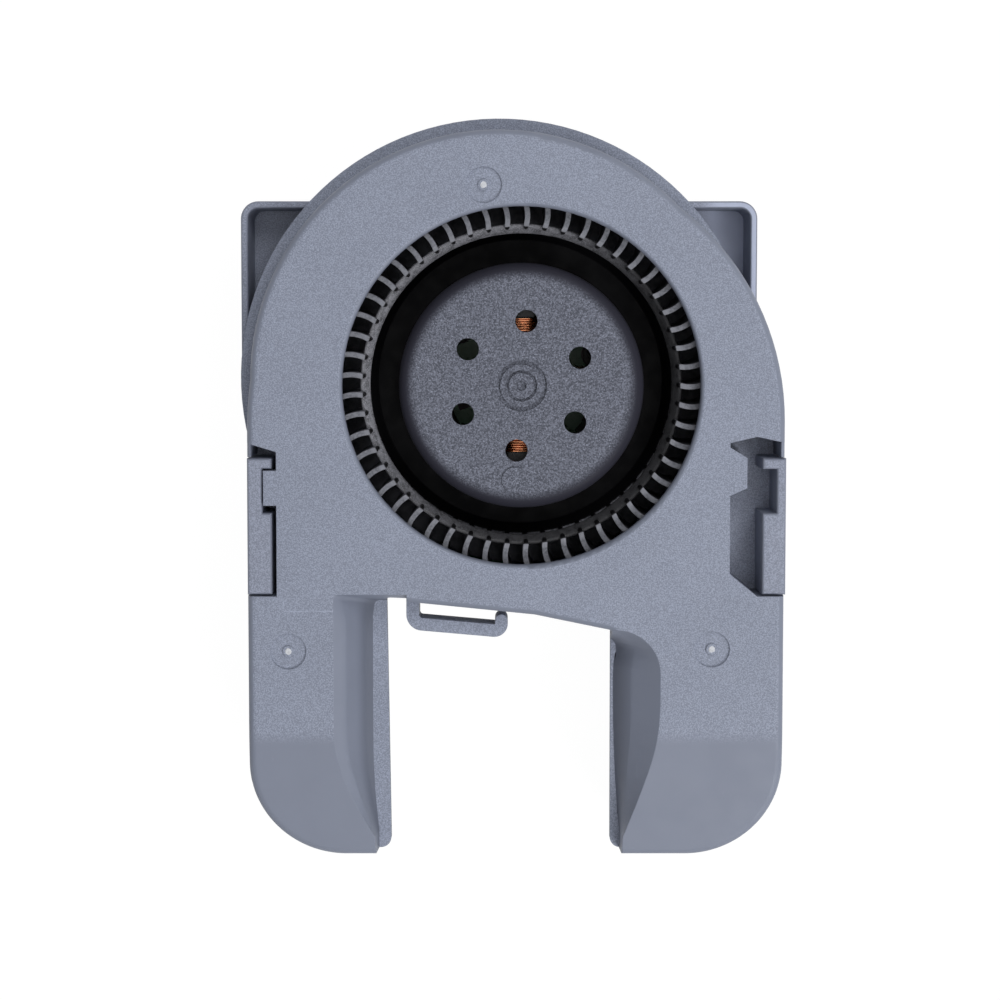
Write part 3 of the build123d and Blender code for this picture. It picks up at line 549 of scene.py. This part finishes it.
def make_materials():
    """Material of each CAD node."""
    steel = metal("plated_steel", STEEL, 0.5 * MM, (1, 1, 0.1), 0.01 * MM, 0.28, 0.42, 0.25)
    ground = metal("ground_steel", shade(STEEL, 1.15), 0.15 * MM, (1, 1, 8), 0.004 * MM, 0.15, 0.28, 0.1)
    bronze = metal("sintered_bronze", BRONZE, 0.2 * MM, (1, 1, 1), 0.02 * MM, 0.4, 0.6, 0.35)
    tin = metal("tinned_pins", TIN, 0.3 * MM, (1, 0.1, 1), 0.004 * MM, 0.2, 0.35, 0.2)
    ferrite = plain_plastic("bonded_ferrite", FERRITE, 0.2 * MM, 0.02 * MM, 0.5, 0.7)
    white = plain_plastic("natural_plastic", INSULATOR_WHITE, 0.4 * MM, 0.01 * MM, 0.4, 0.55)
    header = plain_plastic("header_plastic", shade(INSULATOR_WHITE, 1.06), 0.5 * MM, 0.008 * MM, 0.35, 0.5)
    motor = plain_plastic("motor_black_plastic", MOTOR_BLACK, 0.35 * MM, 0.02 * MM, 0.4, 0.55)
    chip = plain_plastic("chip_epoxy", CHIP_BLACK, 0.15 * MM, 0.01 * MM, 0.5, 0.65)
    board = plain_plastic("board_laminate", BOARD_GREEN, 0.3 * MM, 0.01 * MM, 0.3, 0.45)
    made = {
        "front_cover": shell_plastic("cover_grey_plastic", COVER_GREY, True),
        "rear_housing": shell_plastic("housing_grey_plastic", HOUSING_GREY, False),
        "impeller": wheel_plastic(),
        "motor_flange": motor,
        "flange_screws": steel,
        "stator_core": laminations(),
        "front_insulator": motor,
        "rear_insulator": motor,
        "front_bearing": bronze,
        "rear_bearing": bronze,
        "thrust_pad": white,
        "thrust_washer": white,
        "circuit_board": board,
        "driver_chip": chip,
        "hall_sensor": chip,
        "board_capacitor": chip,
        "board_resistors": chip,
        "connector_header": header,
        "connector_pins": tin,
        "rotor_cup": steel,
        "ring_magnet": ferrite,
        "rotor_bush": bronze,
        "shaft": ground,
        "shaft_clip": steel,
    }
    return made


def dress(node, material):
    """Gives a CAD node its material."""
    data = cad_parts[node].data
    data.materials.clear()
    data.materials.append(material)


def mesh_piece(name, vertices, faces, material, smooth=True):
    """New object from a list of points and faces."""
    data = bpy.data.meshes.new(name)
    data.from_pydata(vertices, [], faces)
    data.validate()
    for face in data.polygons:
        face.use_smooth = smooth
    data.materials.append(material)
    piece = bpy.data.objects.new(name, data)
    bpy.context.scene.collection.objects.link(piece)
    return piece


def gate_vestige(number, x, y, material):
    """Low torn lump on a gate's nub."""
    rng = random.Random(VESTIGE_SEED + number)
    rings, sides = VESTIGE_RINGS, VESTIGE_SIDES
    top = FACE - VESTIGE_CLEARANCE
    vertices = [(x, y, top)]
    edge = [1 + rng.uniform(*VESTIGE_EDGE) for _ in range(sides)]
    for ring in range(1, rings + 1):
        share = ring / rings
        for side in range(sides):
            angle = 2 * math.pi * side / sides
            reach = VESTIGE_RADIUS * share * (1 + (edge[side] - 1) * share)
            drop = VESTIGE_SINK * share ** 3 + rng.uniform(0, VESTIGE_ROUGHNESS) * MM
            vertices.append((x + reach * math.cos(angle), y + reach * math.sin(angle), top - drop))
    faces = [(0, 1 + side, 1 + (side + 1) % sides) for side in range(sides)]
    for ring in range(rings - 1):
        for side in range(sides):
            a = 1 + ring * sides + side
            b = 1 + ring * sides + (side + 1) % sides
            faces.append((a, a + sides, b + sides, b))
    last = 1 + (rings - 1) * sides
    faces.append(tuple(last + side for side in reversed(range(sides))))
    piece = mesh_piece(f"gate_vestige_{number}", vertices, faces, material)
    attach(piece, "housing")


def wire(path, radius, sides):
    """Vertices and faces of a tube along a run of points."""
    vertices, faces = [], []
    across = Vector((0, 0, 1)).cross(path[1] - path[0]).normalized()
    for i, point in enumerate(path):
        ahead = path[min(i + 1, len(path) - 1)] - path[max(i - 1, 0)]
        ahead.normalize()
        across = (across - ahead * across.dot(ahead)).normalized()
        up = ahead.cross(across)
        for side in range(sides):
            angle = 2 * math.pi * side / sides
            vertices.append(point + (across * math.cos(angle) + up * math.sin(angle)) * radius)
    for i in range(len(path) - 1):
        for side in range(sides):
            a = i * sides + side
            b = i * sides + (side + 1) % sides
            faces.append((a, b, b + sides, a + sides))
    faces.append(tuple(reversed(range(sides))))
    last = (len(path) - 1) * sides
    faces.append(tuple(last + side for side in range(sides)))
    return vertices, faces


def loop_points(half_width, half_height, corner, steps):
    """Points of a rounded rectangle, counter-clockwise, with more points in the corners."""
    points = []
    for index, (sx, sy) in enumerate(((1, 1), (-1, 1), (-1, -1), (1, -1))):
        for step in range(steps + 1):
            angle = math.pi / 2 * (index + step / steps)
            points.append((
                sx * (half_width - corner) + corner * math.cos(angle),
                sy * (half_height - corner) + corner * math.sin(angle),
            ))
    return points


def winding(number, turn, material):
    """One pole's winding: layers of wire wound as a helix round the pole, in place of the CAD ring."""
    low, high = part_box("coil_1")
    rng = random.Random(WINDING_SEED + number)
    half_width = WINDING_HALF - WIRE_RADIUS
    half_height = (high.z - low.z) / 2 - WIRE_RADIUS
    middle_z = (high.z + low.z) / 2
    start, end = low.x + WIRE_RADIUS, high.x - WIRE_RADIUS
    turns = int((end - start) / (2 * WIRE_RADIUS))
    cos_turn, sin_turn = math.cos(turn), math.sin(turn)
    path = []
    for layer in range(WINDING_LAYERS):
        inset = layer * 2 * WIRE_RADIUS * WINDING_NESTING
        ring = loop_points(half_width - inset, half_height - inset, WINDING_CORNER, WIRE_CORNER_STEPS)
        order = range(turns) if layer % 2 == 0 else reversed(range(turns))
        for wound in order:
            lean = rng.uniform(-1, 1) * WIRE_WANDER
            for index, (y, z) in enumerate(ring):
                along = wound + (index / len(ring) if layer % 2 == 0 else -index / len(ring))
                radial = start + (end - start) * min(max(along / turns, 0), 1) + lean
                lift = rng.uniform(-0.3, 0) * WIRE_WANDER
                scale = 1 + lift / half_width
                x, y = radial, y * scale
                place = (x * cos_turn - y * sin_turn, x * sin_turn + y * cos_turn, middle_z + z * scale)
                path.append(Vector(place))
    vertices, faces = wire(path, WIRE_RADIUS, WIRE_SIDES)
    piece = mesh_piece(f"coil_{number}_winding", vertices, faces, material)
    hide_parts(f"coil_{number}")
    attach(piece, "housing")


def lathed(name, profile, sides, material):
    """Ring made by turning a closed profile, given in millimetres, about the wheel's axis."""
    vertices, faces = [], []
    for side in range(sides):
        angle = 2 * math.pi * side / sides
        for radius, z in profile:
            vertices.append((radius * MM * math.cos(angle), radius * MM * math.sin(angle), z * MM))
    count = len(profile)
    for side in range(sides):
        ahead = (side + 1) % sides
        for i in range(count):
            j = (i + 1) % count
            faces.append((side * count + i, ahead * count + i, ahead * count + j, side * count + j))
    return mesh_piece(name, vertices, faces, material)


def impeller_ring(material):
    """Sloped ring that ties the inner edges of the blades."""
    piece = lathed("impeller_inner_ring", RING_PROFILE, RING_SIDES, material)
    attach(piece, "rotor")


def reworked(node, name, material):
    """Copy of a CAD shell that stands for it and may be reshaped."""
    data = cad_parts[node].data.copy()
    data.materials.clear()
    data.materials.append(material)
    piece = bpy.data.objects.new(name, data)
    bpy.context.scene.collection.objects.link(piece)
    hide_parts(node)
    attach(piece, "housing")
    return data


def housing_shell(material):
    """Housing whose walls beside the gap lean outwards towards the back, as draft."""
    data = reworked("rear_housing", "housing_shell", material)
    for vertex in data.vertices:
        place = vertex.co
        share = 1 - place.z / PARTING
        if place.y > GAP_HEAD or share <= 0:
            continue
        left = GAP_LEFT + GAP_SLANT * (GAP_HEAD - place.y)
        if left - GAP_SKIN < place.x < left + GAP_SKIN:
            place.x -= GAP_DRAFT * share
        elif abs(place.x - GAP_RIGHT) < GAP_SKIN:
            place.x += GAP_DRAFT * share


def ramp_level(y):
    """Height of the cover's face along a leg."""
    run = max(RAMP_START - y, 0)
    bend = RAMP_RADIUS * math.sin(RAMP_ANGLE)
    if run < bend:
        return FACE - run * run / (2 * RAMP_RADIUS)
    return FACE - bend * bend / (2 * RAMP_RADIUS) - (run - bend) * math.tan(RAMP_ANGLE)


def smooth_share(value, start, end):
    """0 before start and 1 past end, with soft ends."""
    share = min(max((value - start) / (end - start), 0), 1)
    return share * share * (3 - 2 * share)


def flank_move(scoop, place):
    """Sideways move of a point on a scoop's flank."""
    top = ramp_level(place.y)
    depth = min(max((top - place.z) / (top - LIP), 0), 1)
    for (low, low_move), (high, high_move) in zip(scoop["moves"], scoop["moves"][1:]):
        if depth <= high:
            move = low_move + (high_move - low_move) * (depth - low) / (high - low)
            break
    foot_start, foot_end = scoop["foot"]
    run = min(max((foot_start * MM - place.y) / ((foot_start - foot_end) * MM), 0), 1)
    head_start, head_end = scoop["head"]
    return move * MM * (1 - run * run) * smooth_share(place.y, head_start * MM, head_end * MM)


def flank_faces(mesh, box):
    """Faces of a scoop's flank and of the ledge at its foot."""
    low, high = (Vector(corner) * MM for corner in box)
    found = []
    for face in mesh.faces:
        middle = face.calc_center_median()
        inside = all(low[i] <= middle[i] <= high[i] for i in range(3))
        on_ledge = face.normal.z > FLANK_FLATTEST and abs(middle.z - LIP) < LEDGE_SLACK
        if inside and (FLANK_STEEPEST < face.normal.z <= FLANK_FLATTEST or on_ledge):
            found.append(face)
    return found


def cut_flank(mesh, box, place, normal):
    """Splits a flank's faces along a plane."""
    faces = flank_faces(mesh, box)
    edges = {edge for face in faces for edge in face.edges}
    points = {point for face in faces for point in face.verts}
    geometry = [*points, *edges, *faces]
    bmesh.ops.bisect_plane(mesh, geom=geometry, dist=CUT_MERGE, plane_co=place, plane_no=normal)
    mesh.normal_update()


def reshape_flank(mesh, scoop):
    """Cuts a flank finely, moves its points sideways and gives back its faces."""
    box = scoop["box"]
    level = LIP + FLANK_STEP
    while level < FACE:
        cut_flank(mesh, box, (0, 0, level), (0, 0, 1))
        level += FLANK_STEP
    y = scoop["head"][0] * MM
    while y > scoop["foot"][1] * MM:
        cut_flank(mesh, box, (0, y, 0), (0, 1, 0))
        y -= FLANK_STRIP
    faces = set(flank_faces(mesh, box))
    slopes = [face for face in faces if face.normal.z < FLANK_FLATTEST]
    pinned = {spot(point.co) for face in mesh.faces if face not in faces for point in face.verts}
    moving = {spot(point.co) for face in slopes for point in face.verts} - pinned
    for point in {point for face in faces for point in face.verts}:
        if spot(point.co) in moving:
            point.co.x += flank_move(scoop, point.co)
    return slopes


def spot(place):
    """Place as whole micrometres, to match points that lie together."""
    return tuple(round(value * MICRONS_PER_METRE) for value in place)


def cover_shell(material):
    """Cover whose scoops fall in a gentle and a steep part."""
    data = reworked("front_cover", "cover_shell", material)
    mesh = bmesh.new()
    mesh.from_mesh(data)
    faces = reshape_flank(mesh, RIGHT_SCOOP) + reshape_flank(mesh, LEFT_SCOOP)
    mesh.faces.index_update()
    mesh.normal_update()
    flank = {face.index for face in faces}
    mesh.to_mesh(data)
    mesh.free()
    corners = [Vector(corner.vector) for corner in data.corner_normals]
    sums = {}
    for index in flank:
        polygon = data.polygons[index]
        for point in polygon.vertices:
            key = spot(data.vertices[point].co)
            sums[key] = sums.get(key, Vector()) + polygon.normal * polygon.area
    for index in flank:
        polygon = data.polygons[index]
        for loop in polygon.loop_indices:
            corners[loop] = sums[spot(data.vertices[data.loops[loop].vertex_index].co)].normalized()
    data.normals_split_custom_set(corners)


def recess_skins(material):
    """Thin walls with the cover's rounded edge that close the recesses outwards above the rails."""
    vertices, faces = [], []
    for side, inward in SKIN_SIDES:
        profile = [(side, PARTING / MM), (side + inward * SKIN_WIDTH, PARTING / MM)]
        for step in range(SKIN_STEPS + 1):
            across = SKIN_WIDTH * (1 - step / SKIN_STEPS)
            rise = math.sqrt(COVER_EDGE ** 2 - (COVER_EDGE - across) ** 2)
            profile.append((side + inward * across, FACE / MM - COVER_EDGE + rise))
        start, count = len(vertices), len(profile)
        for y in (SKIN_FOOT, SKIN_HEAD):
            vertices.extend((x * MM, y * MM, z * MM) for x, z in profile)
        faces.append(tuple(range(start, start + count)))
        faces.append(tuple(reversed(range(start + count, start + 2 * count))))
        for i in range(count):
            j = (i + 1) % count
            faces.append((start + i, start + count + i, start + count + j, start + j))
    piece = mesh_piece("recess_skins", vertices, faces, material, smooth=False)
    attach(piece, "housing")


def make_camera():
    """Camera above the inlet at the photograph's angle."""
    data = bpy.data.cameras.new("camera")
    data.lens = LENS
    data.sensor_width = SENSOR_WIDTH
    data.shift_y = SHIFT_Y
    data.clip_start = CLIP_START
    camera = bpy.data.objects.new("camera", data)
    bpy.context.scene.collection.objects.link(camera)
    camera.location = (CAMERA_X, AIM_Y + CAMERA_HEIGHT * math.tan(CAMERA_TILT), FACE + CAMERA_HEIGHT)
    camera.rotation_euler = (-CAMERA_TILT, 0, 0)
    bpy.context.scene.camera = camera


def aim(place, target):
    """Rotation that points a lamp at a target."""
    return (Vector(target) - Vector(place)).to_track_quat("-Z", "Y").to_euler()


def area_light(name, place, size, power):
    data = bpy.data.lights.new(name, "AREA")
    data.shape = "SQUARE"
    data.size = size
    data.energy = power
    lamp = bpy.data.objects.new(name, data)
    bpy.context.scene.collection.objects.link(lamp)
    lamp.location = place
    lamp.rotation_euler = aim(place, (CAMERA_X, 0, FACE))


def make_lights():
    """Soft key from the lower right, a softer lamp from the upper right and a weak one above."""
    level = KEY_DISTANCE * math.cos(KEY_ELEVATION)
    height = KEY_DISTANCE * math.sin(KEY_ELEVATION)
    key = (level * math.cos(KEY_AZIMUTH), level * math.sin(KEY_AZIMUTH), height)
    area_light("key_light", key, KEY_SIZE, KEY_POWER)
    area_light("fill_light", FILL_PLACE, FILL_SIZE, FILL_POWER)
    area_light("top_light", TOP_PLACE, TOP_SIZE, TOP_POWER)


def seen_directly(tree):
    """1 for rays from the camera, from gloss and through glass."""
    path = tree.nodes.new("ShaderNodeLightPath")
    total = path.outputs["Is Camera Ray"]
    for ray in ("Is Glossy Ray", "Is Transmission Ray"):
        either = tree.nodes.new("ShaderNodeMath")
        either.operation = "MAXIMUM"
        tree.links.new(total, either.inputs[0])
        tree.links.new(path.outputs[ray], either.inputs[1])
        total = either.outputs[0]
    return total


def make_world():
    """Even pale light on the object, seen as white by the camera."""
    world = bpy.data.worlds.new("world")
    world.use_nodes = True
    bpy.context.scene.world = world
    tree = world.node_tree
    output = tree.nodes["World Output"]
    lit = tree.nodes["Background"]
    lit.inputs["Color"].default_value = (1.0, 1.0, 1.0, 1.0)
    lit.inputs["Strength"].default_value = WORLD_STRENGTH
    seen = tree.nodes.new("ShaderNodeBackground")
    seen.inputs["Strength"].default_value = 1.0
    mix = tree.nodes.new("ShaderNodeMixShader")
    tree.links.new(seen_directly(tree), mix.inputs[0])
    tree.links.new(lit.outputs[0], mix.inputs[1])
    tree.links.new(seen.outputs[0], mix.inputs[2])
    tree.links.new(mix.outputs[0], output.inputs["Surface"])


def make_floor():
    """White floor that keeps a faint shadow."""
    material = bpy.data.materials.new("floor_white")
    material.use_nodes = True
    tree = material.node_tree
    tree.nodes.remove(tree.nodes["Principled BSDF"])
    diffuse = tree.nodes.new("ShaderNodeBsdfDiffuse")
    diffuse.inputs["Color"].default_value = (FLOOR_WHITE, FLOOR_WHITE, FLOOR_WHITE, 1)
    glow = tree.nodes.new("ShaderNodeEmission")
    glow.inputs["Strength"].default_value = GLOW_STRENGTH
    share = tree.nodes.new("ShaderNodeMath")
    share.operation = "MULTIPLY"
    share.inputs[1].default_value = FLOOR_GLOW
    tree.links.new(seen_directly(tree), share.inputs[0])
    mix = tree.nodes.new("ShaderNodeMixShader")
    tree.links.new(share.outputs[0], mix.inputs[0])
    tree.links.new(diffuse.outputs[0], mix.inputs[1])
    tree.links.new(glow.outputs[0], mix.inputs[2])
    tree.links.new(mix.outputs[0], tree.nodes["Material Output"].inputs["Surface"])
    half = FLOOR_SIZE / 2
    data = bpy.data.meshes.new("floor")
    corners = [(-half, -half, 0), (half, -half, 0), (half, half, 0), (-half, half, 0)]
    data.from_pydata(corners, [], [(0, 1, 2, 3)])
    data.materials.append(material)
    floor = bpy.data.objects.new("floor", data)
    bpy.context.scene.collection.objects.link(floor)
    floor.location.z = cad_low.z - FLOOR_GAP


bpy.context.scene.view_settings.view_transform = "Standard"
make_camera()
make_lights()
make_world()
make_floor()

copper = winding_copper()
materials = make_materials()
for node, material in materials.items():
    dress(node, material)
housing_shell(materials["rear_housing"])
cover_shell(materials["front_cover"])
recess_skins(materials["front_cover"])
impeller_ring(ring_dust_and_shade_plastic())
for number in range(1, COIL_COUNT + 1):
    dress(f"coil_{number}", copper)
    winding(number, 2 * math.pi / COIL_COUNT * (number - 1), copper)
vestige = torn_plastic()
for number, (x, y) in enumerate(GATE_PLACES, 1):
    gate_vestige(number, x, y, vestige)
